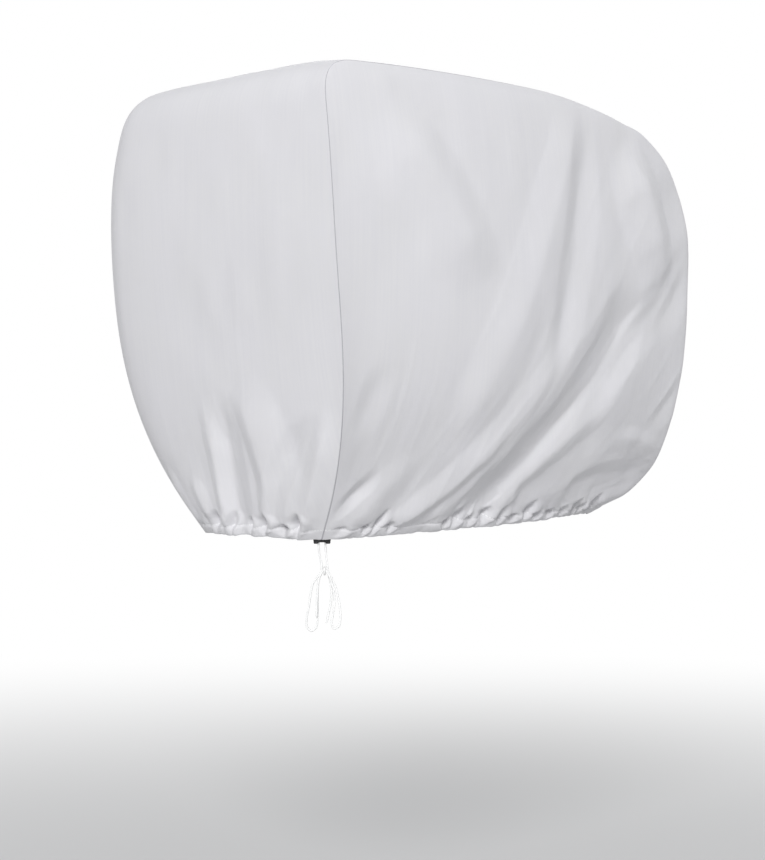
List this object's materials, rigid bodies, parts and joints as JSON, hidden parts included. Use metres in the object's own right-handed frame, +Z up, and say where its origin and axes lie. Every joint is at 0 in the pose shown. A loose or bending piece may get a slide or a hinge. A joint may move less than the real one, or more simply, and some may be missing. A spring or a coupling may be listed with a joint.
{
  "type": "outboard motor cover",
  "caption": "Fitted cloth cover for an outboard motor cowling, sewn from side panels and a centre strip, gathered at the hem by a drawstring tied in a bow.",
  "frame": {"origin": "inside the cover, on the underside of the middle of its top, where the motor cowling holds it up", "axes": "+Z up, +X forward towards the boat, +Y to port; the drawstring hangs at the foot of the rear starboard seam"},
  "size_m": [0.7367, 0.5044, 0.6939],
  "materials": {
    "cover_cloth": "light silver grey woven polyester, slightly satin",
    "drawstring_cord": "white braided cord",
    "lock_plastic": "black moulded plastic"
  },
  "bodies": {
    "root": {"side_panel_starboard": "cover_cloth", "side_panel_port": "cover_cloth", "centre_panel": "cover_cloth", "drawstring_a": "drawstring_cord", "drawstring_b": "drawstring_cord", "bow_knot": "drawstring_cord", "cord_lock": "lock_plastic"}
  },
  "joints": []
}
